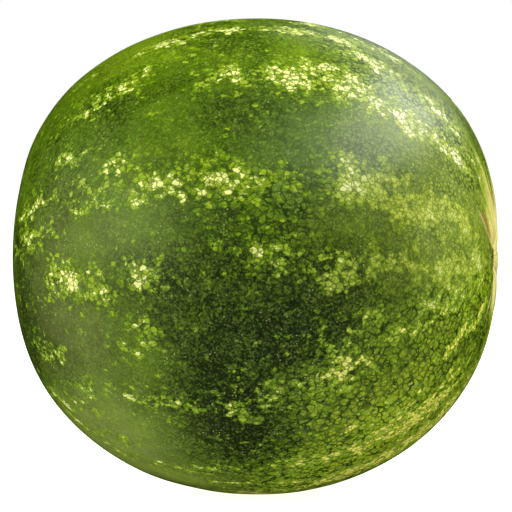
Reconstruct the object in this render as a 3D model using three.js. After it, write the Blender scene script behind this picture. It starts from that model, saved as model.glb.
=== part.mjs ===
// A whole, uncut watermelon lying on its side, as one closed solid.
// Millimetres, +Z up. The stem end points along +X and the blossom end along -X.
// The origin is on the ground, under the middle of the fruit.

import * as THREE from 'three';
import { mergeVertices } from 'three/addons/utils/BufferGeometryUtils.js';

// Body: the half sizes are measured from the belly, the fattest ring round the fruit.
const stemReach = 129.0;       // belly to the stem end
const blossomReach = 125.5;    // belly to the blossom end
const halfWidth = 126.4;
const heightAbove = 126.6;     // belly centre to the top
const heightBelow = 127.2;     // belly centre to the underside, before it settles

// Fullness is the exponent of the long outline: 2 is an ellipse, more is squarer shoulders.
const fullnessTop = 2.65;
const fullnessUnder = 2.45;
const fullnessGain = 0.39;     // added at the blossom end
const shoulderEase = 0.0165;   // share by which the shoulders are drawn in

// The spot that the fruit has settled on.
const settledDepth = 1.3;      // how much of the underside is pressed flat
const settledBlend = 0.25;     // height of the soft edge round the flat

// Hollow round the stem scar, and the scar itself.
const stemHollow = { depth: 2.4, radius: 8.0 };
const stemScar = { depth: 0.8, radius: 4.5, wall: 1.4 };
const blossomHollow = { depth: 1.5, radius: 9.0 };
const blossomScar = { depth: 0.6, radius: 3.6, wall: 1.2 };

// Furrows that run out of the stem hollow between low lobes. The angle is in degrees
// round the fruit's axis, 0 towards -Y and 90 towards the top.
const stemFurrows = [
  { angle: 38, depth: 1.8, reach: 46 },
  { angle: 84, depth: 0.9, reach: 34 },
  { angle: 127, depth: 1.5, reach: 42 },
  { angle: 166, depth: 0.9, reach: 32 },
  { angle: 207, depth: 1.4, reach: 40 },
  { angle: 246, depth: 0.8, reach: 30 },
  { angle: 284, depth: 1.3, reach: 38 },
  { angle: 335, depth: 0.4, reach: 30 },
];
const blossomFurrows = [
  { angle: 12, depth: 0.5, reach: 26 },
  { angle: 75, depth: 0.7, reach: 30 },
  { angle: 141, depth: 0.5, reach: 24 },
  { angle: 199, depth: 0.7, reach: 30 },
  { angle: 263, depth: 0.5, reach: 26 },
  { angle: 318, depth: 0.6, reach: 28 },
];
const furrowStart = 3.5;       // distance from the axis where furrows begin
const furrowRise = 6.0;        // distance over which they reach full depth
const furrowHalfWidth = 3.0;
const furrowSpread = 0.06;     // widening for each millimetre outwards

// Growth leaves very low lobes along the fruit and a slow unevenness over it.
const lobe = { height: 0.3, count: 8, turn: 20 };
const sway = { height: 0.35, turn: 65 };

// Facets: strips round the axis and rings along it. Rings crowd towards the two ends, most
// at the stem, and strips crowd towards the underside, where the flat spot is.
const strips = 84;
const rings = 58;
const crowdStem = 0.1;
const crowdEnds = 0.2;
const crowdTips = 0.07;
const crowdUnder = 0.25;

const degree = Math.PI / 180;

function smoothStep(low, high, value) {
  const share = THREE.MathUtils.clamp((value - low) / (high - low), 0, 1);
  return share * share * (3 - 2 * share);
}

// How far the two ends are hollowed at a distance from the axis, in the direction lon.
function hollowDepth(hollow, scar, furrows, radius, lon) {
  let depth = hollow.depth * Math.exp(-((radius / hollow.radius) ** 2));
  const wallOuter = scar.radius + scar.wall / 2;
  depth += scar.depth * (1 - smoothStep(wallOuter - scar.wall, wallOuter, radius));
  const begun = smoothStep(furrowStart, furrowStart + furrowRise, radius);
  const width = furrowHalfWidth + furrowSpread * radius;
  for (const furrow of furrows) {
    const turn = lon - furrow.angle * degree;
    if (Math.cos(turn) > 0) {
      const aside = (radius * Math.sin(turn)) / width;
      const fade = Math.exp(-((radius / furrow.reach) ** 2));
      depth += furrow.depth * begun * fade * Math.exp(-(aside ** 2));
    }
  }
  return depth;
}

// Height below zero is pressed flat at zero, with a soft edge.
function settle(height) {
  if (height > settledBlend) {
    return height;
  }
  if (height < -settledBlend) {
    return 0;
  }
  return (height + settledBlend) ** 2 / (4 * settledBlend);
}

// A point of the rind: polar runs from the stem end to the blossom end, lon round the axis.
function rindPoint(polar, lon) {
  const up = Math.sin(lon);
  const side = Math.cos(lon);
  const along = Math.cos(polar);
  const girth = Math.sin(polar);

  const halfHeight = up > 0 ? heightAbove : heightBelow;
  const lowLobe = lobe.height * Math.cos(lobe.count * lon - lobe.turn * degree);
  const slowSway = sway.height * Math.sin(2 * lon + sway.turn * degree) * along;
  const ringRadius = 1 / Math.hypot(side / halfWidth, up / halfHeight);
  const eased = 1 - shoulderEase * Math.sin(2 * polar) ** 4;
  const radius = girth * ringRadius * eased + girth * girth * (lowLobe + slowSway);

  const middle = (fullnessTop + fullnessUnder) / 2;
  const tilt = (fullnessTop - fullnessUnder) / 2;
  const fullness = middle + tilt * up + (fullnessGain * (1 - along)) / 2;
  const reach = (stemReach + blossomReach) / 2 + ((stemReach - blossomReach) / 2) * along;
  let x = Math.sign(along) * reach * Math.sqrt(Math.max(0, 1 - girth ** fullness));
  if (along > 0) {
    x -= hollowDepth(stemHollow, stemScar, stemFurrows, radius, lon);
  } else {
    x += hollowDepth(blossomHollow, blossomScar, blossomFurrows, radius, lon);
  }

  const ground = settledDepth - heightBelow;
  const z = ground + settle(radius * up - ground);
  return new THREE.Vector3(x, -radius * side, z);
}

// Moves evenly spaced rings closer together towards the ends.
function crowdRings(angle) {
  const stem = crowdStem * Math.sin(angle);
  const ends = crowdEnds * Math.sin(2 * angle);
  const tips = crowdTips * Math.sin(4 * angle);
  return angle - stem - ends - tips;
}

// The fruit starts as a unit ball whose poles lie along X, and each corner goes to the rind.
function fruitGeometry() {
  const ball = new THREE.SphereGeometry(1, strips, rings);
  ball.deleteAttribute('normal');
  ball.deleteAttribute('uv');
  const geometry = mergeVertices(ball);
  geometry.rotateZ(-90 * degree);

  const corners = geometry.attributes.position;
  const corner = new THREE.Vector3();
  for (let i = 0; i < corners.count; i += 1) {
    corner.fromBufferAttribute(corners, i).normalize();
    const angle = Math.acos(THREE.MathUtils.clamp(corner.x, -1, 1));
    const turn = Math.atan2(corner.z, -corner.y);
    const point = rindPoint(crowdRings(angle), turn - crowdUnder * Math.cos(turn));
    corners.setXYZ(i, point.x, point.y, point.z);
  }

  // Origin: bottom middle of the box round the fruit.
  geometry.computeBoundingBox();
  const box = geometry.boundingBox;
  const middle = box.getCenter(new THREE.Vector3());
  geometry.translate(-middle.x, -middle.y, -box.min.z);
  geometry.computeVertexNormals();
  return geometry;
}

const rind = new THREE.MeshStandardMaterial({
  color: new THREE.Color(0.3, 0.4, 0.1),
  roughness: 0.4,
  metalness: 0,
});

const watermelon = new THREE.Mesh(fruitGeometry(), rind);
watermelon.name = 'watermelon';

const fruit = new THREE.Group();
fruit.name = 'fruit';
fruit.add(watermelon);

export default fruit;
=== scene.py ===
import math

import bpy
import numpy as np
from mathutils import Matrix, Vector


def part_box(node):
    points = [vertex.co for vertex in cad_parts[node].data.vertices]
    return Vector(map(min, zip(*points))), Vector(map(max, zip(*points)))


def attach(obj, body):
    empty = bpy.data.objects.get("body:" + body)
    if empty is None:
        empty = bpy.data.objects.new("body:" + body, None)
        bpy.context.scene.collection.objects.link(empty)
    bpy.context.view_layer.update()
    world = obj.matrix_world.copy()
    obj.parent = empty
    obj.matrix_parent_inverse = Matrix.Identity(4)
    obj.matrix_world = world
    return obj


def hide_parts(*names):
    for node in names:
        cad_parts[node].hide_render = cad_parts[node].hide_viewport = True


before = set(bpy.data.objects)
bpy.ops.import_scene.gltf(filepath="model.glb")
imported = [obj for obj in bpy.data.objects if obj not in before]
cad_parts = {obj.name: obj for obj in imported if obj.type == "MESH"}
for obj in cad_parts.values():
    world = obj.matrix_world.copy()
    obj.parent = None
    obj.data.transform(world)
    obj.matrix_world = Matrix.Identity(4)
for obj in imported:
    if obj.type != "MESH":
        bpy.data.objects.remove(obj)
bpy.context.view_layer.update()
cadLow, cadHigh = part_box("watermelon")
print("frame loaded")

mm = 0.001
degree = math.pi / 180


def addObject(name, data):
    made = bpy.data.objects.new(name, data)
    bpy.context.scene.collection.objects.link(made)
    return made


# The rind's form, in millimetres from the middle of the belly. Angles round the fruit are
# in degrees, 0 towards -Y and 90 towards the top. The stem end points along +X.
rindForm = {
    "stemReach": 129.0,
    "blossomReach": 125.5,
    "halfWidth": 126.4,
    "heightAbove": 126.6,
    "heightBelow": 127.2,
    "fullnessTop": 2.65,  # 2 is an ellipse, more has squarer shoulders
    "fullnessUnder": 2.45,
    "fullnessGain": 0.39,  # added at the blossom end
    "shoulderEase": 0.0165,
    "settledDepth": 1.3,
    "settledBlend": 0.25,
    "lobes": (0.3, 8, 20),  # height, count, turn
    "sway": (0.35, 65),  # height, turn
    "furrowStart": 3.5,
    "furrowRise": 6.0,
    "furrowHalfWidth": 3.0,
    "furrowSpread": 0.06,
    "strips": 384,
    "rings": 256,
    "stemCrowding": (7.0, 0.13),  # extra rings at the stem, and the angle over which they thin out
    "blossomCrowding": (4.0, 0.12),
    "unevenness": (0.16, 26, 11),  # height, size and seed of the soft lumps all over
    "groundFade": (0.2, 4),  # heights over the ground between which the relief comes in
    # low relief round and in the two scars
    "scarRays": (18, 46),  # fewest and most waves in the rays round a scar
    "rayStart": 4,
    "rayReach": 30,
    "corkGrain": (0.16, 0.9),  # height, size
    "corkRays": (0.1, 5, 15),  # height, fewest and most waves
    "corkRim": (-1, 0.6),  # the cork ends between these distances from the scar's rim
    "corkMiddle": 1.2,
}

stemEnd = {
    "hollow": (2.4, 8.0),  # depth, radius
    "scar": (0.8, 4.5, 1.4),  # depth, radius, width of its wall
    "pit": (0.7, 1.5),  # depth, radius
    "rayHeight": 0.16,
    "seed": 21,
    # angle, depth and reach of each furrow
    "furrows": [
        (38, 1.8, 46),
        (84, 0.9, 34),
        (127, 1.5, 42),
        (166, 0.9, 32),
        (207, 1.4, 40),
        (246, 0.8, 30),
        (284, 1.3, 38),
        (335, 0.4, 30),
    ],
    # angle round the scar and how far the straw-coloured skin reaches there
    "strawReach": [
        (0, 7),
        (28, 9),
        (38, 13),
        (46, 28),
        (54, 42),
        (62, 44),
        (90, 38),
        (127, 34),
        (166, 26),
        (207, 36),
        (246, 24),
        (275, 30),
        (300, 14),
        (330, 8),
    ],
    "strawRagged": (0.16, 9, 40, 61),  # amount, fewest and most waves, seed
    # angle, start, end and strength of the pale lines on the ridges: dry skin, with a painted
    # highlight along the ridge tops
    "crests": [(35, 9, 50, 1.0), (350, 8, 14, 1.0), (306, 12, 40, 1.0)],
    # the same for the corky brown in the furrows
    "cork": [
        (38, 16, 40, 1.0),
        (84, 30, 42, 0.6),
        (127, 14, 26, 0.5),
        (207, 12, 30, 0.7),
        (284, 16, 27, 0.5),
    ],
}

blossomEnd = {
    "hollow": (1.5, 9.0),
    "scar": (0.6, 3.6, 1.2),
    "pit": (-0.5, 1.1),  # below zero it stands up as a nub
    "rayHeight": 0.1,
    "seed": 22,
    "furrows": [
        (12, 0.5, 26),
        (75, 0.7, 30),
        (141, 0.5, 24),
        (199, 0.7, 30),
        (263, 0.5, 26),
        (318, 0.6, 28),
    ],
}


def smoothStep(low, high, value):
    share = np.clip((value - low) / (high - low), 0, 1)
    return share * share * (3 - 2 * share)


def softNoise(places, size, seed, waves=24):
    # soft lumps about size millimetres across, with a spread of about 1
    dice = np.random.default_rng(seed)
    heading = dice.normal(size=(waves, 3))
    heading /= np.linalg.norm(heading, axis=1, keepdims=True)
    pitch = 2 * np.pi / (size * dice.uniform(1.2, 2.6, waves))
    phase = dice.uniform(0, 2 * np.pi, waves)
    return np.sin(places @ (heading * pitch[:, None]).T + phase).sum(axis=-1) / math.sqrt(waves / 2)


def rayNoise(lon, lowest, highest, seed):
    # random rays round the axis, with a spread of about 1
    dice = np.random.default_rng(seed)
    total = np.zeros_like(lon)
    counts = np.arange(lowest, highest + 1)
    for count, phase in zip(counts, dice.uniform(0, 2 * np.pi, len(counts))):
        total += np.cos(count * lon + phase)
    return total / math.sqrt(len(counts) / 2)


def hollowDepth(end, radius, lon):
    # how far an end is hollowed at a distance from the axis
    form = rindForm
    deep, wide = end["hollow"]
    scarDeep, scarRadius, wall = end["scar"]
    depth = deep * np.exp(-((radius / wide) ** 2))
    wallOuter = scarRadius + wall / 2
    depth += scarDeep * (1 - smoothStep(wallOuter - wall, wallOuter, radius))
    begun = smoothStep(form["furrowStart"], form["furrowStart"] + form["furrowRise"], radius)
    width = form["furrowHalfWidth"] + form["furrowSpread"] * radius
    for angle, furrowDeep, reach in end["furrows"]:
        turn = lon - angle * degree
        aside = radius * np.sin(turn) / width
        cut = furrowDeep * begun * np.exp(-((radius / reach) ** 2)) * np.exp(-(aside**2))
        depth += np.where(np.cos(turn) > 0, cut, 0)
    return depth


def settle(height):
    # below zero the underside is pressed flat, with a soft edge
    blend = rindForm["settledBlend"]
    curved = (height + blend) ** 2 / (4 * blend)
    return np.where(height > blend, height, np.where(height < -blend, 0, curved))


def rindPoint(polar, lon):
    # polar runs from the stem end to the blossom end, lon round the axis, both in radians
    form = rindForm
    up = np.sin(lon)
    side = np.cos(lon)
    along = np.cos(polar)
    girth = np.clip(np.sin(polar), 0, 1)

    lobeHeight, lobeCount, lobeTurn = form["lobes"]
    swayHeight, swayTurn = form["sway"]
    lobe = lobeHeight * np.cos(lobeCount * lon - lobeTurn * degree)
    sway = swayHeight * np.sin(2 * lon + swayTurn * degree) * along
    halfHeight = np.where(up > 0, form["heightAbove"], form["heightBelow"])
    ringRadius = 1 / np.hypot(side / form["halfWidth"], up / halfHeight)
    eased = 1 - form["shoulderEase"] * np.sin(2 * polar) ** 4
    radius = girth * ringRadius * eased + girth * girth * (lobe + sway)

    middle = (form["fullnessTop"] + form["fullnessUnder"]) / 2
    tilt = (form["fullnessTop"] - form["fullnessUnder"]) / 2
    fullness = middle + tilt * up + form["fullnessGain"] * (1 - along) / 2
    reach = (form["stemReach"] + form["blossomReach"]) / 2
    reach = reach + (form["stemReach"] - form["blossomReach"]) / 2 * along
    x = np.sign(along) * reach * np.sqrt(np.clip(1 - girth**fullness, 0, None))
    stemCut = hollowDepth(stemEnd, radius, lon)
    blossomCut = hollowDepth(blossomEnd, radius, lon)
    x = np.where(along > 0, x - stemCut, x + blossomCut)

    ground = form["settledDepth"] - form["heightBelow"]
    z = ground + settle(radius * up - ground)
    return np.stack([x, -radius * side, z], axis=-1)


def rindNormal(polar, lon):
    small = 1e-4
    alongX = rindPoint(polar + small, lon) - rindPoint(polar - small, lon)
    around = rindPoint(polar, lon + small) - rindPoint(polar, lon - small)
    out = np.cross(around, alongX)
    length = np.linalg.norm(out, axis=-1, keepdims=True)
    return out / np.maximum(length, 1e-12)  # no length at the two tips


def ringAngles():
    # rings lie closer together at the stem and blossom scars
    form = rindForm
    samples = 4001
    polar = np.linspace(0, np.pi, samples)
    stemMore, stemSpan = form["stemCrowding"]
    blossomMore, blossomSpan = form["blossomCrowding"]
    crowd = 1 + stemMore * np.exp(-((polar / stemSpan) ** 2))
    crowd += blossomMore * np.exp(-(((np.pi - polar) / blossomSpan) ** 2))
    total = np.concatenate([[0], np.cumsum((crowd[1:] + crowd[:-1]) / 2)])
    return np.interp(np.linspace(0, total[-1], form["rings"] + 1), total, polar)


def scarRelief(end, radius, lon, places):
    # rays round a scar, cork in it, and its pit
    form = rindForm
    scarRadius = end["scar"][1]
    pitDeep, pitRadius = end["pit"]
    rays = rayNoise(lon, *form["scarRays"], end["seed"])
    band = smoothStep(scarRadius, scarRadius + form["rayStart"], radius)
    band = band * np.exp(-((radius / form["rayReach"]) ** 2))
    grainHeight, grainSize = form["corkGrain"]
    rayHeight, fewest, most = form["corkRays"]
    cork = grainHeight * softNoise(places, grainSize, end["seed"] + 4)
    cork = cork + rayHeight * rayNoise(lon, fewest, most, end["seed"] + 5)
    rimStart, rimEnd = form["corkRim"]
    cork = cork * (1 - smoothStep(scarRadius + rimStart, scarRadius + rimEnd, radius))
    cork = cork * smoothStep(0, form["corkMiddle"], radius)
    pit = pitDeep * np.exp(-((radius / pitRadius) ** 2))
    return end["rayHeight"] * rays * band + cork - pit


def skinRelief(polar, lon, places):
    # low relief in millimetres, outwards
    form = rindForm
    radius = np.hypot(places[..., 1], places[..., 2])
    stemSide = np.cos(polar) > 0
    height, size, seed = form["unevenness"]
    relief = height * softNoise(places, size, seed)
    for end, onSide in ((stemEnd, stemSide), (blossomEnd, ~stemSide)):
        relief = relief + onSide * scarRelief(end, radius, lon, places)
    aboveGround = places[..., 2] + form["heightBelow"] - form["settledDepth"]
    return relief * smoothStep(*form["groundFade"], aboveGround)


def fitToBox(places):
    # the skin ends exactly on the CAD fruit's box
    low = places.min(axis=0)
    high = places.max(axis=0)
    share = (places - low) / (high - low)
    return np.array(cadLow) + share * (np.array(cadHigh) - np.array(cadLow))


def rindMesh():
    # rings of corners between two tips
    strips = rindForm["strips"]
    angles = ringAngles()
    lons = np.arange(strips) / strips * 2 * np.pi
    polar, lon = np.meshgrid(angles[1:-1], lons, indexing="ij")
    polar = np.concatenate([[angles[0]], polar.ravel(), [angles[-1]]])
    lon = np.concatenate([[0.0], lon.ravel(), [0.0]])

    places = rindPoint(polar, lon)
    normals = rindNormal(polar, lon)
    normals[0] = (1, 0, 0)
    normals[-1] = (-1, 0, 0)
    raised = places + normals * skinRelief(polar, lon, places)[:, None]

    rows = len(angles) - 2
    corner = 1 + np.arange(rows * strips).reshape(rows, strips)
    after = np.roll(corner, -1, axis=1)
    quads = np.stack([corner[:-1], corner[1:], after[1:], after[:-1]], axis=-1).reshape(-1, 4)
    last = len(places) - 1
    stemFan = [(0, int(a), int(b)) for a, b in zip(corner[0], after[0])]
    blossomFan = [(last, int(b), int(a)) for a, b in zip(corner[-1], after[-1])]

    mesh = bpy.data.meshes.new("rindSkin")
    mesh.from_pydata(fitToBox(raised).tolist(), [], stemFan + quads.tolist() + blossomFan)
    mesh.update()
    mesh.shade_smooth()
    return mesh, polar, lon, places


skinMesh, skinPolar, skinLon, skinPlaces = rindMesh()
skin = addObject("rindSkin", skinMesh)
print("rind shaped:", len(skinMesh.vertices), "corners")

# where each corner lies: distance from the axis, degrees along the fruit and degrees round it
skinRadius = np.hypot(skinPlaces[:, 1], skinPlaces[:, 2])
onStemSide = np.cos(skinPolar) > 0
skinLat = 90 - skinPolar / degree
lonDegrees = (skinLon / degree + 180) % 360 - 180


# Pale markings. Each is an angle round the fruit, an angle along it (0 at the belly, 90 at
# the stem), half its length, half its width, both in millimetres, and how pale it is.
markings = {
    "edgeWander": (1.6, 9),  # how far and how broadly the edges wander
    "wanderSeeds": (31, 32, 33),
    "sameSide": 40,  # a stroke ends where the fruit curves away from it
    "strokes": [
        (65, -33, 11, 4, 0.75),
        (66, -16, 17, 6, 0.92),
        (71, -4, 18, 6, 0.95),
        (73, 9, 16, 6, 0.97),
        (75, 20, 15, 6, 0.95),
        (68, 27, 18, 7, 0.92),
        (67, 46, 14, 5, 0.7),
        (83, -8, 20, 7, 0.8),
        (83, 13, 18, 7, 0.9),
        (81, 30, 18, 6, 0.85),
        (70, 64, 13, 2.5, 0.8),
        (60, 66, 14, 2.5, 0.75),
        (50, -23, 16, 6, 0.82),
        (45, -31, 16, 5, 0.62),
        (55, -17, 6, 5, 0.7),
        (55, -8, 7, 4, 0.55),
        (49, 1, 12, 6, 0.75),
        (46, -4, 7, 6, 0.5),
        (50, 13, 15, 12, 0.9),
        (51, 25, 14, 11, 0.8),
        (56, 19, 14, 7, 0.8),
        (48, 38, 22, 9, 0.8),
        (63, 49, 16, 4, 0.85),
        (48, 54, 16, 6, 0.9),
        (31, -32, 13, 4.5, 0.75),
        (30, -18, 8, 3, 0.35),
        (17, -49, 10, 4, 0.7),
        (19, -41, 14, 4, 0.75),
        (25, -20, 9, 6, 0.72),
        (20, -26, 10, 6, 0.62),
        (15, -24, 16, 4, 0.66),
        (19, -11, 17, 9, 0.84),
        (20, 3, 21, 12, 0.7),
        (19, 14, 9, 4, 0.5),
        (28, 26, 9, 7, 0.74),
        (20, 28, 13, 9, 0.82),
        (24, 36, 18, 11, 0.54),
        (17, 45, 18, 10, 0.66),
        (24, 56, 18, 10, 0.56),
        (15, 62, 12, 6, 0.6),
        (8, -48, 14, 4, 0.75),
        (4, -57, 10, 4, 0.4),
        (10, -37, 4, 3, 0.6),
        (-3, -32, 13, 10, 1.0),
        (-7, -24, 14, 5, 0.72),
        (-2, -22, 6, 3, 0.4),
        (-2, -13, 13, 8, 0.88),
        (4, 11, 14, 8, 0.68),
        (-1, 25, 18, 8, 0.55),
        (3, 37, 18, 8, 0.5),
        (-1, 55, 28, 9, 0.62),
        (2, 70, 14, 9, 0.6),
        (-15, -13, 8, 7, 0.52),
        (-20, -16, 10, 5, 0.54),
        (-13, 33, 12, 5, 0.52),
        (-12, 48, 9, 4, 0.6),
        (-14, 55, 14, 8, 0.6),
        (-20, 27, 14, 7, 0.36),
        (-20, 43, 17, 7, 0.52),
        (-18, 68, 14, 7, 0.45),
        (-28, 25, 11, 10, 0.95),
        (-30, 12, 18, 9, 0.45),
        (-35, 4, 12, 6, 0.46),
        (-30, -40, 16, 4, 0.55),
        (-35, -31, 12, 4, 0.66),
        (-34, -16, 10, 4, 0.52),
        (-36, 58, 18, 4, 0.85),
        (-39, 70, 15, 3.5, 0.95),
        (-44, -30, 14, 3.5, 0.65),
        (-52, -24, 14, 4, 0.62),
        (-60, -14, 15, 4, 0.55),
        (-65, -2, 15, 3.5, 0.6),
        (-67, 10, 14, 4, 0.6),
        (-47, 27, 14, 5, 0.85),
        (-45, 40, 18, 5, 0.55),
        (-52, 36, 16, 6, 0.6),
        (-53, 53, 14, 5, 0.75),
        (-57, 30, 42, 8, 0.84),
        (-60, 42, 20, 8, 0.78),
        (-56, 10, 16, 6, 0.42),
        (-63, 50, 16, 6, 0.75),
        (-72, 22, 28, 10, 0.86),
        (-73, 35, 26, 10, 0.94),
        (-78, 46, 22, 10, 0.86),
        (-76, 56, 20, 6, 0.7),
        (-34, -18, 7, 3, 0.62),
        (-33, -11, 8, 3, 0.64),
        (-34, -5, 8, 4, 0.54),
        (-26, -38, 9, 3, 0.5),
        (-51, -41, 14, 4, 0.72),
        (-58, -34, 16, 4, 0.74),
        (-62, -24, 16, 4, 0.72),
        (-57, -4, 14, 4, 0.64),
        (-26, 31, 7, 5, 0.7),
    ],
    # the far side carries the same broken stripes, placed by chance
    "hiddenStart": 98,
    "hiddenPitch": 23,
    "hiddenStripes": 9,
    "hiddenStrokes": 9,  # in each stripe
    "hiddenSpan": (-60, 66),
    "hiddenStray": (6, 3.5),  # along the fruit and round it
    "hiddenHalfLength": (8, 20),
    "hiddenHalfWidth": (3.5, 8),
    "hiddenStrengths": [0.35, 0.5, 0.65, 0.8, 0.9],
    "hiddenSeed": 8,
}


def spotFrame(lon, lat):
    # place, direction along the fruit, direction round it and outward direction of a spot
    small = 0.002
    polar = (90 - lat) * degree
    lon = lon * degree
    place = rindPoint(polar, lon)
    along = rindPoint(polar - small, lon) - place
    along /= np.linalg.norm(along)
    out = place / np.linalg.norm(place)
    around = np.cross(out, along)
    around /= np.linalg.norm(around)
    return place, along, around, out


def strokeField(strokes, places):
    clear = np.ones(len(places))
    for lon, lat, halfLength, halfWidth, strength in strokes:
        place, along, around, out = spotFrame(lon, lat)
        away = places - place
        spread = (away @ along / halfLength) ** 2 + (away @ around / halfWidth) ** 2
        near = places @ out > markings["sameSide"]
        clear *= 1 - near * strength * np.exp(-spread)
    return 1 - clear


def hiddenStrokes():
    dice = np.random.default_rng(markings["hiddenSeed"])
    count = markings["hiddenStrokes"]
    strayAlong, strayRound = markings["hiddenStray"]
    found = []
    for stripe in range(markings["hiddenStripes"]):
        lon = markings["hiddenStart"] + stripe * markings["hiddenPitch"]
        lats = np.linspace(*markings["hiddenSpan"], count)
        for lat in lats + dice.uniform(-strayAlong, strayAlong, count):
            aside = dice.normal(0, strayRound)
            halfLength = dice.uniform(*markings["hiddenHalfLength"])
            halfWidth = dice.uniform(*markings["hiddenHalfWidth"])
            strength = dice.choice(markings["hiddenStrengths"])
            found.append((lon + aside, lat, halfLength, halfWidth, strength))
    return found


def wanderedPlaces():
    wander, size = markings["edgeWander"]
    moves = [softNoise(skinPlaces, size, seed) for seed in markings["wanderSeeds"]]
    return skinPlaces + wander * np.stack(moves, axis=-1)


def paleField():
    return strokeField(markings["strokes"] + hiddenStrokes(), wanderedPlaces())


def spotSum(spots, places):
    # soft round spots: angle round, angle along, radius in millimetres, amount
    total = np.zeros(len(places))
    for lon, lat, size, amount in spots:
        place = spotFrame(lon, lat)[0]
        total += amount * np.exp(-(((places - place) ** 2).sum(axis=-1) / size**2))
    return total


# How dark or light, yellow or blue the green is before the markings go on, with some painted light,
# reflection and sheen among its spots.
greenTone = {
    "middle": 0.64,
    # tone spots; the ones low on the near side, about 60 to 75 degrees round towards the bottom,
    # brighten the lower limb as painted light thrown up from a pale floor
    "toneAndBounceSpots": [
        (-35, 50, 60, -0.75),
        (10, 55, 50, 0.54),
        (-65, 45, 60, 0.6),
        (85, 0, 50, 0.06),
        (45, -25, 40, -0.2),
        (-12, 12, 36, -0.38),
        (-8, -4, 34, -0.38),
        (-45, 0, 42, -0.5),
        (37, 6, 30, -0.28),
        (12, 36, 40, -0.2),
        (34, 36, 30, -0.16),
        (-20, -40, 50, -0.34),
        (-75, 15, 45, 0.34),
        (60, -60, 45, -0.3),
        (-30, 25, 35, 0.32),
        (62, 20, 40, 0.28),
        (70, -25, 40, 0.3),
        (-70, -45, 50, 0.2),
        (-40, -60, 45, -0.3),
        (-38, -17, 26, 0.12),
        (-60, -26, 32, 0.36),
        (24, -36, 24, -0.16),
        (48, -27, 20, -0.16),
        (46, -12, 18, -0.2),
        (-38, 5, 17, -0.5),
        (-3, 26, 19, -0.26),
        (-21, 27, 14, -0.2),
        (-31, 34, 16, -0.2),
        (68, 27, 26, 0.3),
        (66, 44, 20, 0.3),
        (58, 54, 20, 0.3),
        (67, -21, 20, 0.25),
        (-58, -17, 15, -0.22),
        (-74, 34, 20, 0.3),
        (-44, 24, 30, 0.2),
        (-46, -2, 26, 0.08),
        (-18, -38, 24, -0.18),
        (-25, 38, 36, 0.06),
        (0, 80, 40, 0.2),
        (72, 8, 30, -0.2),
        (-18, 20, 24, -0.32),
        (-34, 42, 28, 0.42),
        (-7, 9, 18, 0.26),
        (-64, -8, 26, 0.24),
        (0, -40, 40, -0.1),
        (0, 38, 20, -0.22),
        (22, 50, 20, -0.2),
        (-54, 27, 20, 0.3),
        (-33, 2, 16, -0.2),
    ],
    # spots of a grey-green veil: waxy bloom, with painted reflection of the lamps and the pale
    # floor along the left and lower limbs and at the upper right
    "waxAndSheenSpots": [
        (-16, -30, 34, 0.6),
        (8, -34, 30, 0.36),
        (-48, -24, 34, 0.6),
        (-64, -28, 34, 0.75),
        (14, -16, 26, 0.24),
        (22, 48, 34, 0.42),
        (-54, -28, 22, 0.5),
        (-68, -8, 20, 0.4),
    ],
    # spots of a grey-blue film: painted sheen where the key lamp's reflection lies over the upper
    # right, over waxy bloom
    "sheenFilmSpots": [
        (27, 17, 24, 0.55),
        (36, 26, 24, 0.3),
        (48, 38, 30, 0.4),
    ],
    # the far side swings with its stripes
    "farLon": (85, 110),  # degrees from the middle of the near side
    "stripeSwing": 0.06,
    "lumpSwing": 0.045,
    "lumps": (22, 41),  # size, seed
    "streakShare": 0.7,
    "streaks": (9, 42),
    "streakLength": (0.3, 1, 1),  # below 1 along the fruit, so lumps grow into streaks
    "warmLat": (0, 60),  # the green turns yellower along the fruit
    "warmTilt": 0.45,
    "warmLimit": 100,
}
nearMiddle = 5  # degrees round the fruit, the middle of the side that the strokes mark


def farSide(span):
    return smoothStep(*span, np.abs(lonDegrees - nearMiddle))


def toneField():
    look = greenTone
    tone = look["middle"] + spotSum(look["toneAndBounceSpots"], skinPlaces)
    fromStripe = (skinLon / degree - markings["hiddenStart"]) / markings["hiddenPitch"]
    tone += farSide(look["farLon"]) * look["stripeSwing"] * np.cos(fromStripe * 2 * np.pi)
    tone += look["lumpSwing"] * softNoise(skinPlaces, *look["lumps"])
    streaks = softNoise(skinPlaces * look["streakLength"], *look["streaks"])
    tone += look["lumpSwing"] * look["streakShare"] * streaks
    return tone


def warmthField():
    look = greenTone
    nearSide = np.abs(lonDegrees) < look["warmLimit"]
    return smoothStep(*look["warmLat"], skinLat - look["warmTilt"] * lonDegrees * nearSide)


# The two nets of veins. Pairs are where a soft change starts and ends: in degrees along the
# fruit (Lat), degrees round it (Lon) or millimetres from the axis (Radius).
wideNet = {
    "startLat": (-24, 8),  # clear across the middle
    "topLon": (14, 36),
    "topLoss": 0.75,
    "shoulderLat": (16, 38),
    "shoulderLon": (-10, 6),
    "shoulderLoss": 0.85,
    "faint": (0.16, 0.1, 30, 51),  # level, swing, size and seed of its faint patches
    "farLon": (80, 110),
    "farPatches": (0.8, 70, 52),  # half their soft edge, size, seed
    "blossomRadius": (10, 75),
    "blossomLoss": 0.85,
}
closeNet = {
    "patches": (0.3, 0.24, 30, 53),
    "stemLat": (8, 34),
    "stemLon": (-10, 8),
    "stemGain": 0.6,
    "topLat": (-30, 0),
    "topLon": (48, 72),
    "topLimit": 110,
    "topGain": 0.35,
}


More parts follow.
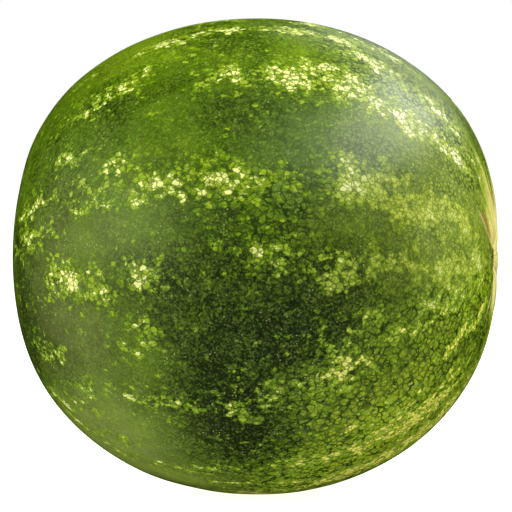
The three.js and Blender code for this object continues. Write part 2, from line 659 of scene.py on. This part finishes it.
def wideNetField():
    net = wideNet
    seen = smoothStep(*net["startLat"], skinLat)
    seen = seen * (1 - net["topLoss"] * smoothStep(*net["topLon"], lonDegrees))
    shoulder = net["shoulderLoss"] * smoothStep(*net["shoulderLat"], skinLat)
    seen *= 1 - shoulder * smoothStep(*net["shoulderLon"], lonDegrees)
    level, swing, size, seed = net["faint"]
    faint = level + swing * softNoise(skinPlaces, size, seed)
    field = np.maximum(faint, seen)
    hidden = farSide(net["farLon"])
    edge, size, seed = net["farPatches"]
    other = smoothStep(-edge, edge, softNoise(skinPlaces, size, seed))
    field = field * (1 - hidden) + other * hidden
    smoothEnd = np.where(onStemSide, 0, 1 - smoothStep(*net["blossomRadius"], skinRadius))
    return np.clip(field * (1 - net["blossomLoss"] * smoothEnd), 0, 1)


def closeNetField():
    # a finer net, strongest towards the stem end
    net = closeNet
    level, swing, size, seed = net["patches"]
    patches = level + swing * softNoise(skinPlaces, size, seed)
    towardsStem = smoothStep(*net["stemLat"], skinLat) * smoothStep(*net["stemLon"], lonDegrees)
    overTop = smoothStep(*net["topLon"], lonDegrees) * smoothStep(*net["topLat"], skinLat)
    overTop = overTop * (lonDegrees < net["topLimit"])
    return np.clip(patches + net["stemGain"] * towardsStem + net["topGain"] * overTop, 0, 1)


def strawField():
    # 0 at the scar, 1 where the straw-coloured skin gives way to green
    angles, reaches = np.array(stemEnd["strawReach"]).T
    reach = np.interp(skinLon / degree, angles, reaches, period=360)
    amount, fewest, most, seed = stemEnd["strawRagged"]
    ragged = 1 + amount * rayNoise(skinLon, fewest, most, seed)
    farOut = 2.0
    return np.where(onStemSide, np.clip(skinRadius / (reach * ragged), 0, farOut), farOut)


# Streaks that run outwards from the stem scar.
corkStreak = {
    "halfWidth": (1.6, 0.02),  # at the axis, and its growth outwards
    "opening": (-4, 4),  # it comes in between these distances from its start
    "closing": (-6, 4),
    "grain": (0.3, 3, 62),  # amount, size, seed
}
crestStreak = {
    "halfWidth": (0.9, 0.015),
    "opening": (-3, 2),
    "closing": (-14, 0),
}


def streakField(look, streaks):
    total = np.zeros(len(skinLon))
    width, growth = look["halfWidth"]
    for angle, start, end, strength in streaks:
        turn = skinLon - angle * degree
        aside = skinRadius * np.sin(turn) / (width + growth * skinRadius)
        opened = smoothStep(start + look["opening"][0], start + look["opening"][1], skinRadius)
        closed = smoothStep(end + look["closing"][0], end + look["closing"][1], skinRadius)
        band = opened * (1 - closed)
        total += np.where(np.cos(turn) > 0, strength * band * np.exp(-(aside**2)), 0)
    return total


def corkField():
    amount, size, seed = corkStreak["grain"]
    grain = 1 + amount * softNoise(skinPlaces, size, seed)
    return onStemSide * np.clip(streakField(corkStreak, stemEnd["cork"]) * grain, 0, 1)


def crestField():
    return onStemSide * np.clip(streakField(crestStreak, stemEnd["crests"]), 0, 1)


groundSpot = {
    "middle": (-100, -3),  # angle round the fruit, angle along it
    "ragged": (5, 24, 71),  # how far and how broadly its edge wanders, seed
    "edge": (16, 58),
}


def groundField():
    under = spotFrame(*groundSpot["middle"])[0]
    ragged, size, seed = groundSpot["ragged"]
    distance = np.linalg.norm(skinPlaces - under, axis=-1)
    distance += ragged * softNoise(skinPlaces, size, seed)
    return 1 - smoothStep(*groundSpot["edge"], distance)


# The skin is paler and greyer towards the stem end, and the marks there are softer.
mutedSkin = {
    "startLat": (12, 40),
    "startLon": (-25, 5),
    "endLon": (75, 110),
    "softEndLon": (36, 50),
}


def mutedField():
    muted = smoothStep(*mutedSkin["startLat"], skinLat)
    muted *= smoothStep(*mutedSkin["startLon"], lonDegrees)
    return muted * (1 - smoothStep(*mutedSkin["endLon"], lonDegrees))


def softMarkField():
    return mutedField() * (1 - smoothStep(*mutedSkin["softEndLon"], lonDegrees))


skinRays = (0.5, 0.28, 24, 90, 81)  # level, swing, fewest and most waves, seed


def rayField():
    level, swing, fewest, most, seed = skinRays
    return level + swing * rayNoise(skinLon, fewest, most, seed)


farAway = 200.0  # millimetres, for the corners at the other end
skinFields = {
    "pale": paleField(),
    "tone": toneField(),
    "wideNet": wideNetField(),
    "closeNet": closeNetField(),
    "straw": strawField(),
    "cork": corkField(),
    "crest": crestField(),
    "groundSpot": groundField(),
    "rays": rayField(),
    "stemRadius": np.where(onStemSide, skinRadius, farAway),
    "blossomRadius": np.where(onStemSide, farAway, skinRadius),
    # a grey-green veil of waxy bloom with painted reflection, and a grey-blue film of painted sheen
    # from the key lamp
    "haze": np.clip(spotSum(greenTone["waxAndSheenSpots"], skinPlaces), 0, 1),
    "film": np.clip(spotSum(greenTone["sheenFilmSpots"], skinPlaces), 0, 1),
    "muted": mutedField(),
    "softMarks": softMarkField(),
    "warmth": warmthField(),
}
for name, values in skinFields.items():
    layer = skinMesh.attributes.new(name, "FLOAT", "POINT")
    layer.data.foreach_set("value", values.astype(np.float32))
print("markings laid out")


class Wire:
    # one output socket, which adds Math nodes when it is used in arithmetic
    def __init__(self, board, socket):
        self.board = board
        self.socket = socket

    def also(self, output):
        # another output of the same node
        return Wire(self.board, self.socket.node.outputs[output])

    def math(self, operation, first, second):
        return self.board.node("ShaderNodeMath", {"operation": operation}, {0: first, 1: second})

    def highest(self, other):
        return self.math("MAXIMUM", self, other)

    def swing(self, amount):
        # a noise as a push either way, by half the amount at most
        return (self - 0.5) * amount

    def __add__(self, other):
        return self.math("ADD", self, other)

    def __mul__(self, other):
        return self.math("MULTIPLY", self, other)

    def __sub__(self, other):
        return self.math("SUBTRACT", self, other)

    def __rsub__(self, other):
        return self.math("SUBTRACT", other, self)

    __radd__ = __add__
    __rmul__ = __mul__


class Board:
    # the nodes of one material or world
    def __init__(self, tree):
        self.tree = tree
        tree.nodes.clear()

    def node(self, kind, settings=None, sockets=None, output=0):
        made = self.tree.nodes.new(kind)
        for name, value in (settings or {}).items():
            setattr(made, name, value)
        for name, value in (sockets or {}).items():
            if isinstance(value, Wire):
                self.tree.links.new(value.socket, made.inputs[name])
            else:
                made.inputs[name].default_value = value
        return Wire(self, made.outputs[output]) if made.outputs else None

    def field(self, name):
        return self.node("ShaderNodeAttribute", {"attribute_name": name}, output="Fac")

    def mix(self, share, first, second):
        sockets = {0: share, 6: first, 7: second}
        return self.node("ShaderNodeMix", {"data_type": "RGBA"}, sockets, output=2)

    def vector(self, operation, first, second):
        sockets = {0: first, "Scale" if operation == "SCALE" else 1: second}
        return self.node("ShaderNodeVectorMath", {"operation": operation}, sockets)

    def step(self, low, high, value):
        settings = {"interpolation_type": "SMOOTHSTEP", "clamp": True}
        sockets = {"Value": value, "From Min": low, "From Max": high}
        return self.node("ShaderNodeMapRange", settings, sockets)

    def noise(self, vector, scale, detail, output="Fac"):
        sockets = {"Vector": vector, "Scale": scale, "Detail": detail}
        return self.node("ShaderNodeTexNoise", None, sockets, output=output)

    def cells(self, vector, scale, feature="F1", output="Color"):
        sockets = {"Vector": vector, "Scale": scale}
        return self.node("ShaderNodeTexVoronoi", {"feature": feature}, sockets, output=output)

    def split(self, colour):
        # its red, with green and blue beside it
        return self.node("ShaderNodeSeparateColor", None, {"Color": colour})

    def surface(self, sockets):
        shader = self.node("ShaderNodeBsdfPrincipled", None, sockets)
        self.node("ShaderNodeOutputMaterial", None, {"Surface": shader})


def addMaterial(mesh, name):
    material = bpy.data.materials.new(name)
    material.use_nodes = True
    mesh.materials.append(material)
    return Board(material.node_tree)


def paint(red, green, blue):
    # a colour as a paint chart gives it, 0 to 255, for a colour socket
    linear = []
    for value in (red, green, blue):
        share = value / 255
        linear.append(share / 12.92 if share <= 0.04045 else ((share + 0.055) / 1.055) ** 2.4)
    return (*linear, 1.0)


# Colours, scales and strengths of the rind. Pairs named Edge are where a soft edge starts and
# ends. Noise is its scale and detail, and wander is these and how far edges move, in metres.
rindFinish = {
    "colours": {
        "darkGreen": (34, 50, 4),
        "midCool": (82, 113, 2),
        "midWarm": (102, 126, 0),
        "midMuted": (94, 114, 8),
        "lightCool": (126, 156, 16),
        "lightWarm": (148, 166, 12),
        "lightMuted": (138, 156, 42),
        "veinDark": (8, 26, 2),
        "veinLight": (44, 70, 4),
        "veinMuted": (46, 74, 6),
        "freshGreen": (108, 148, 0),
        "freshMuted": (122, 143, 18),
        "yellowGreen": (150, 174, 34),
        "yellowMuted": (164, 176, 62),
        "cream": (232, 236, 142),
        "creamWarm": (222, 216, 88),
        "creamMuted": (194, 202, 124),
        "chalk": (220, 224, 170),
        "dot": (178, 194, 110),
        # the grey-green veil is waxy bloom with painted reflection, and the grey-blue film is
        # painted sheen of the key lamp
        "haze": (126, 138, 66),
        "film": (116, 138, 92),
        "speck": (156, 172, 70),
        "straw": (208, 196, 116),
        "strawRay": (158, 150, 52),
        "crest": (206, 206, 136),
        "corkBrown": (134, 92, 24),
        "scarBrown": (64, 40, 18),
        "groundYellow": (212, 184, 88),
        "groundPale": (226, 208, 130),
        "groundGreen": (168, 160, 74),
    },
    "bigCell": 3.3,  # millimetres
    "bigCorner": 0.2,  # how much the veins widen where cells meet
    "bigWander": (260, 1.0, 0.0032),
    "smallCell": 2.4,
    "smallCorner": 0.15,
    "smallWander": (420, 2.0, 0.0026),
    "cellLength": (0.8, 1, 1),  # below 1 along the fruit, so the cells grow longer
    "fineNoise": (900, 2.0),
    "broadNoise": (90, 3.0),
    "clumpNoise": (210, 1.0),
    "wearNoise": (160, 2.0),
    "gritScale": 1150,
    "green": {
        "bigSwing": (0.06, 0.14),  # how much whole cells differ: everywhere, and more in the net
        "smallSwing": (0.05, 0.2),
        "fineSwing": 0.5,
        "broadSwing": 0.25,
        "gritSwing": 0.26,
        "midEdge": (0.05, 0.55),
        "lightEdge": (0.5, 1.0),
        "sheenFilmShare": (0.35, 0.6),  # everywhere, and more with the fine noise
        "waxAndSheenShare": (0.7, 0.6),
        "speckEdge": (0.6, 0.95),
        "speckShare": 0.12,
    },
    "veins": {
        "wearEdge": (0.35, 0.6),
        "wideEdge": (0.07, 0.12),
        "wideShare": (0.7, 0.3),  # everywhere, and more where the skin isn't worn
        "closeEdge": (0.12, 0.22),
        "closeShare": (0.6, 0.4),
        "darkEdge": (0.1, 0.6),  # faint where the skin is darkest
        "darkShare": (0.5, 0.5),
        "colourEdge": (0.3, 0.9),
        "mutedShare": 0.8,
    },
    "marks": {
        "paleShare": 0.95,
        "clumpSwing": 0.95,
        "bigSwing": 0.35,
        "smallSwing": 0.5,
        "softLoss": 0.65,  # whole cells count less in the soft marks
        "fineSwing": (0.35, 0.3),  # everywhere, and more in the soft marks
        "crumbEdge": (0.03, 0.14),  # from a vein to the inside of a cell
        "crumbLoss": 0.5,
        "crumbSoft": 0.15,
        "shadeShare": 0.7,  # veins between pale cells
        "freshEdge": (0.24, 0.34),
        "freshCells": (0.25, 0.75),  # everywhere, and more inside the cells
        "freshShare": 0.7,
        "yellowEdge": (0.4, 0.46),
        "yellowSoft": (0.04, 0.14),  # how far the edge spreads in the soft marks
        "yellowCells": (0.15, 0.85),
        "yellowShare": 0.9,
        "creamEdge": (0.68, 0.73),
        "creamSoft": 0.16,
        "creamCells": (0.15, 0.85),
        "dotScale": 720,
        "dotEdge": (0.2, 0.36),
        "dotChance": (0.78, 0.8),
        "dotPatches": (0.45, 0.65),
        "dotShare": 0.6,
    },
    "ground": {
        "clumpLevel": 0.5,
        "edge": (0.12, 0.75),
        "paleEdge": (0.4, 0.62),
        "greenEdge": (0.3, 0.75),
        "greenShare": 0.3,
        "share": 0.9,
    },
    "ends": {
        "strawSwing": 0.5,  # how ragged the straw-coloured skin is
        "haloEdge": (0.85, 1.5),
        "haloShare": (0.35, 0.4),
        "strawEdge": (0.62, 1.22),
        "strawShare": (0.82, 0.36),
        "rayEdge": (0.5, 0.85),
        "rayShare": 0.7,
        "blotchLevel": 0.8,
        "blotchShare": 0.5,
        "crestShare": (0.3, 0.8),
        "corkShare": 0.4,
        "scarEdge": (5.2, 6.6),  # millimetres from the axis
        "scarSwing": 2.4,
        "blossomEdge": (2.4, 5.4),
        "blossomSwing": 3.4,
        "blossomShare": 0.85,
        "ringEdge": (4.0, 13.0),
        "ringSwing": 6,
        "ringShare": 0.6,
        "scarBrownEdge": (0.35, 0.7),
    },
    "gloss": 0.34,
    "refraction": 1.45,
    "coat": 0.03,
    "coatRoughness": 0.25,
    "roughness": 0.32,
    "roughSwing": 0.16,
    "roughScar": 0.4,
    "roughCork": 0.3,
    "roughStraw": 0.1,
    "bumpEdge": (0.0, 0.25),
    "bumpCells": 0.5,
    "bumpFine": 0.4,
    "bumpStrength": 0.12,
    "bumpDepth": 0.0004,  # metres
}


def rising(pair, share):
    # the first of a pair everywhere, and the second on top of it where share is 1
    level, more = pair
    return level + more * share


roundCell = 0.45  # distance from the middle, in cells, at which the veins keep their width


class Net:
    # one net of cells: chances for each cell, and how far a point is from the veins
    def __init__(self, board, place, cell, corner):
        scale = 1000 / cell  # cells to a metre
        chance = board.cells(place, scale)
        dice = board.split(chance)
        self.toneChance = dice
        self.paleChance = dice.also(1)
        self.edge = board.cells(place, scale, "DISTANCE_TO_EDGE", "Distance")
        self.rim = self.edge + (roundCell - chance.also("Distance")) * corner


def wandered(board, place, grown, wander):
    # the place that a cell is looked up at, moved so that its edges wander
    scale, detail, reach = wander
    push = board.noise(place, scale, detail, output="Color")
    push = board.vector("SUBTRACT", push, (0.5, 0.5, 0.5))
    return board.vector("ADD", grown, board.vector("SCALE", push, reach))


class RindPainter:
    # mixes the rind's colours from its fields, nets and noises, in the order of paintRind
    def __init__(self, board):
        finish = rindFinish
        self.board = board
        self.colours = {name: paint(*value) for name, value in finish["colours"].items()}
        for name in skinFields:
            setattr(self, name, board.field(name))  # such as self.pale and self.tone

        self.place = board.node("ShaderNodeTexCoord", output="Object")
        grown = board.vector("MULTIPLY", self.place, finish["cellLength"])
        bigPlace = wandered(board, self.place, grown, finish["bigWander"])
        smallPlace = wandered(board, self.place, grown, finish["smallWander"])
        self.bigNet = Net(board, bigPlace, finish["bigCell"], finish["bigCorner"])
        self.smallNet = Net(board, smallPlace, finish["smallCell"], finish["smallCorner"])
        self.fine = board.noise(self.place, *finish["fineNoise"])
        self.broad = board.noise(self.place, *finish["broadNoise"])
        self.clump = board.noise(bigPlace, *finish["clumpNoise"])
        self.grit = board.split(board.cells(self.place, finish["gritScale"]))

    def mix(self, share, first, second):
        # each colour is a wire or the name of a colour
        pair = [self.colours[item] if isinstance(item, str) else item for item in (first, second)]
        return self.board.mix(share, *pair)

    def baseGreen(self):
        # the green under the veins and marks
        look = rindFinish["green"]
        step = self.board.step
        bigSwing = rising(look["bigSwing"], self.wideNet)
        smallSwing = rising(look["smallSwing"], self.closeNet)
        depth = self.tone + self.bigNet.toneChance.swing(bigSwing)
        depth = depth + self.smallNet.toneChance.swing(smallSwing)
        depth = depth + self.fine.swing(look["fineSwing"]) + self.broad.swing(look["broadSwing"])
        depth = depth + self.grit.swing(look["gritSwing"])
        midSkin = self.mix(self.warmth, "midCool", "midWarm")
        midSkin = self.mix(self.muted, midSkin, "midMuted")
        lightSkin = self.mix(self.warmth, "lightCool", "lightWarm")
        lightSkin = self.mix(self.muted, lightSkin, "lightMuted")
        green = self.mix(step(*look["midEdge"], depth), "darkGreen", midSkin)
        green = self.mix(step(*look["lightEdge"], depth), green, lightSkin)
        # a grey-blue film of painted sheen, where the key lamp's reflection lies
        return self.mix(self.film * rising(look["sheenFilmShare"], self.fine), green, "film")

    def veins(self, green):
        # dark veins of both nets
        look = rindFinish["veins"]
        step = self.board.step
        worn = step(*look["wearEdge"], self.board.noise(self.place, *rindFinish["wearNoise"]))
        wideVein = 1 - step(*look["wideEdge"], self.bigNet.rim)
        self.wideVein = wideVein * rising(look["wideShare"], worn) * self.wideNet
        closeVein = 1 - step(*look["closeEdge"], self.smallNet.rim)
        closeVein = closeVein * rising(look["closeShare"], worn) * self.closeNet
        lit = step(*look["darkEdge"], self.tone)
        strength = self.wideVein.highest(closeVein) * rising(look["darkShare"], lit)
        self.veinSkin = self.mix(step(*look["colourEdge"], self.tone), "veinDark", "veinLight")
        self.veinSkin = self.mix(self.muted * look["mutedShare"], self.veinSkin, "veinMuted")
        return self.mix(strength, green, self.veinSkin)

    def waxSheenAndSpecks(self, rind):
        # waxy bloom with painted reflection of the lamps and the pale floor, and light specks over
        # the veins
        look = rindFinish["green"]
        level, more = look["waxAndSheenShare"]
        rind = self.mix(self.haze * (level + self.broad.swing(more)), rind, "haze")
        specks = self.board.step(*look["speckEdge"], self.grit) * look["speckShare"]
        return self.mix(specks, rind, "speck")

    def marks(self, rind):
        # broken pale markings: whole cells turn yellow green, and the palest ones cream
        look = rindFinish["marks"]
        step = self.board.step
        soft = self.softMarks
        chance = self.bigNet.paleChance.swing(look["bigSwing"])
        chance = chance + self.smallNet.paleChance.swing(look["smallSwing"])
        patch = self.pale * look["paleShare"] + self.clump.swing(look["clumpSwing"])
        patch = patch + chance * (1 - look["softLoss"] * soft)
        patch = patch + self.fine.swing(rising(look["fineSwing"], soft))
        crumb = step(*look["crumbEdge"], self.smallNet.rim)
        crumb = crumb * (1 - look["crumbLoss"] * self.wideVein)
        crumbSoft = look["crumbSoft"] * soft
        crumb = crumb * (1 - crumbSoft) + crumbSoft
        rind = self.mix((1 - crumb) * self.pale * look["shadeShare"], rind, self.veinSkin)

        fresh = step(*look["freshEdge"], patch) * rising(look["freshCells"], crumb)
        low, high = look["yellowEdge"]
        lower, higher = look["yellowSoft"]
        yellow = step(low - lower * soft, high + higher * soft, patch)
        yellow = yellow * rising(look["yellowCells"], crumb)
        low, high = look["creamEdge"]
        cream = step(low, high + look["creamSoft"] * soft, patch)
        cream = cream * rising(look["creamCells"], crumb)

        freshSkin = self.mix(self.muted, "freshGreen", "freshMuted")
        yellowSkin = self.mix(self.muted, "yellowGreen", "yellowMuted")
        creamSkin = self.mix(self.warmth, "cream", "creamWarm")
        creamSkin = self.mix(self.muted, creamSkin, "chalk")
        creamSkin = self.mix(soft, creamSkin, "creamMuted")
        rind = self.mix(fresh * look["freshShare"], rind, freshSkin)
        rind = self.mix(yellow * look["yellowShare"], rind, yellowSkin)
        rind = self.mix(cream, rind, creamSkin)

        dot = self.board.cells(self.place, look["dotScale"], output="Distance")
        dotChance = self.board.split(dot.also("Color"))
        dots = (1 - step(*look["dotEdge"], dot)) * step(*look["dotChance"], dotChance)
        dots = dots * step(*look["dotPatches"], self.broad)
        return self.mix(dots * look["dotShare"], rind, "dot")

    def ripeSpot(self, rind):
        # where it lay on the soil
        look = rindFinish["ground"]
        step = self.board.step
        skin = self.mix(step(*look["paleEdge"], self.broad), "groundYellow", "groundPale")
        flecks = step(*look["greenEdge"], self.fine) * look["greenShare"]
        skin = self.mix(flecks, skin, "groundGreen")
        share = step(*look["edge"], self.groundSpot * (look["clumpLevel"] + self.clump))
        return self.mix(share * look["share"], rind, skin)

    def ends(self, rind):
        # straw skin with olive rays round the stem scar, cork in the furrows, and two dry scars
        look = rindFinish["ends"]
        step = self.board.step
        swing = look["strawSwing"]
        edge = self.straw + self.clump.swing(swing) + self.fine.swing(swing)
        halo = (1 - step(*look["haloEdge"], edge)) * rising(look["haloShare"], self.rays)
        strawShare = 1 - step(*look["strawEdge"], edge)
        self.strawShare = strawShare * rising(look["strawShare"], self.clump)
        rayShare = step(*look["rayEdge"], self.rays) * look["rayShare"]
        strawSkin = self.mix(rayShare, "straw", "strawRay")
        blotches = (self.fine + self.broad - look["blotchLevel"]) * look["blotchShare"]
        strawSkin = self.mix(blotches, strawSkin, "strawRay")
        rind = self.mix(halo, rind, "yellowGreen")
        rind = self.mix(self.strawShare, rind, strawSkin)
        # pale ridge lines: dry skin, with a painted highlight along the ridge tops
        rind = self.mix(self.crest * rising(look["crestShare"], self.fine), rind, "crest")
        rind = self.mix(self.cork * (look["corkShare"] + self.clump), rind, "corkBrown")

        scarSkin = self.mix(step(*look["scarBrownEdge"], self.fine), "scarBrown", "corkBrown")
        ragged = self.stemRadius + self.fine.swing(look["scarSwing"])
        self.scarShare = 1 - step(*look["scarEdge"], ragged)
        rind = self.mix(self.scarShare, rind, scarSkin)
        swing = look["ringSwing"]
        ragged = self.blossomRadius + self.rays.swing(swing) + self.clump.swing(swing)
        ring = (1 - step(*look["ringEdge"], ragged)) * look["ringShare"]
        rind = self.mix(ring, rind, "yellowMuted")
        ragged = self.blossomRadius + self.fine.swing(look["blossomSwing"])
        blossom = 1 - step(*look["blossomEdge"], ragged)
        return self.mix(blossom * look["blossomShare"], rind, scarSkin)

    def roughness(self):
        finish = rindFinish
        rough = finish["roughness"] + self.broad.swing(finish["roughSwing"])
        rough = rough + self.scarShare * finish["roughScar"] + self.cork * finish["roughCork"]
        return rough + self.strawShare * finish["roughStraw"]

    def bump(self):
        # cells stand a little proud of the veins
        finish = rindFinish
        cells = self.board.step(*finish["bumpEdge"], self.bigNet.edge)
        cells = cells * self.wideNet * finish["bumpCells"]
        sockets = {"Strength": finish["bumpStrength"], "Distance": finish["bumpDepth"]}
        sockets["Height"] = cells + self.fine * finish["bumpFine"]
        return self.board.node("ShaderNodeBump", None, sockets)


def paintRind():
    board = addMaterial(skinMesh, "waxyRind")
    painter = RindPainter(board)
    colour = painter.waxSheenAndSpecks(painter.veins(painter.baseGreen()))
    colour = painter.ends(painter.ripeSpot(painter.marks(colour)))
    board.surface({
        "Base Color": colour,
        "Roughness": painter.roughness(),
        "Normal": painter.bump(),
        "IOR": rindFinish["refraction"],
        "Specular IOR Level": rindFinish["gloss"],
        "Coat Weight": rindFinish["coat"],
        "Coat Roughness": rindFinish["coatRoughness"],
    })


paintRind()
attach(skin, "root")
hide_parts("watermelon")
print("rind finished")


studio = {
    "aim": (-1.9, 0.0, 125.9),  # millimetres
    "azimuth": 10.6,
    "elevation": 3.0,
    "distance": 1.5,
    "lens": 196.9,
    "filmWidth": 36.0,
    "floorRadius": 9.0,
    "floorSides": 96,
    "floorColour": (238, 238, 236),
    "floorRoughness": 0.9,
    "floorGlow": 0.85,
    "skyLight": 0.4,
    "groundLight": 1.25,  # what the pale ground throws back up
    "horizon": (-0.15, 0.15),
    # each light: direction round the fruit, height angle, distance, width, height, watts, mirrored
    "lights": {
        "key": (98, 49, 1.6, 2.4, 0.7, 30, True),
        "rim": (158, 34, 1.6, 1.3, 0.9, 3, True),
        "fill": (-40, 14, 1.8, 1.2, 1.2, 5, True),
        "left": (-80, 25, 1.8, 1.2, 1.0, 20, False),
        "right": (105, 12, 1.6, 1.0, 0.8, 10, False),
        "top": (-20, 78, 1.6, 1.2, 1.2, 6, False),
    },
}


def directionOf(azimuth, elevation):
    a = azimuth * degree
    e = elevation * degree
    return Vector((math.sin(a) * math.cos(e), -math.cos(a) * math.cos(e), math.sin(e)))


def placed(name, data, azimuth, elevation, distance):
    # a camera or lamp that looks at the fruit
    thing = addObject(name, data)
    away = directionOf(azimuth, elevation)
    thing.location = Vector(studio["aim"]) * mm + away * distance
    thing.rotation_euler = away.to_track_quat("Z", "Y").to_euler()
    return thing


def addCamera():
    data = bpy.data.cameras.new("camera")
    data.lens = studio["lens"]
    data.sensor_width = studio["filmWidth"]
    camera = placed("camera", data, studio["azimuth"], studio["elevation"], studio["distance"])
    bpy.context.scene.camera = camera


def addLamps():
    for name, lamp in studio["lights"].items():
        azimuth, elevation, distance, width, height, watts, mirrored = lamp
        data = bpy.data.lights.new(name, "AREA")
        data.shape = "RECTANGLE"
        data.size = width
        data.size_y = height
        data.energy = watts
        light = placed(name, data, azimuth, elevation, distance)
        light.visible_camera = False
        light.visible_glossy = mirrored


def addFloor():
    mesh = bpy.data.meshes.new("floor")
    radius = studio["floorRadius"]
    turns = [i * 2 * math.pi / studio["floorSides"] for i in range(studio["floorSides"])]
    corners = [(math.cos(turn) * radius, math.sin(turn) * radius, 0) for turn in turns]
    mesh.from_pydata(corners, [], [tuple(range(len(corners)))])
    board = addMaterial(mesh, "paleFloor")
    board.surface({
        "Base Color": paint(*studio["floorColour"]),
        "Roughness": studio["floorRoughness"],
        "Emission Color": (1, 1, 1, 1),
        "Emission Strength": studio["floorGlow"],
    })
    floor = addObject("floor", mesh)
    floor.visible_glossy = False
    floor.visible_diffuse = False


def addSky():
    # white to the camera, and soft light from above and below for the fruit
    world = bpy.data.worlds.new("studioSky")
    world.use_nodes = True
    world.cycles_visibility.glossy = False
    bpy.context.scene.world = world
    board = Board(world.node_tree)
    seen = board.node("ShaderNodeLightPath", output="Is Camera Ray")
    facing = board.node("ShaderNodeTexCoord", output="Generated")
    height = board.node("ShaderNodeSeparateXYZ", None, {0: facing}, output="Z")
    upward = board.step(*studio["horizon"], height)
    soft = upward * studio["skyLight"] + (1 - upward) * studio["groundLight"]
    strength = seen + (1 - seen) * soft
    sky = board.node("ShaderNodeBackground", None, {"Color": (1, 1, 1, 1), "Strength": strength})
    board.node("ShaderNodeOutputWorld", None, {"Surface": sky})


addCamera()
addLamps()
addFloor()
addSky()
bpy.context.scene.view_settings.view_transform = "Standard"
bpy.context.scene.view_settings.look = "None"
print("studio set")
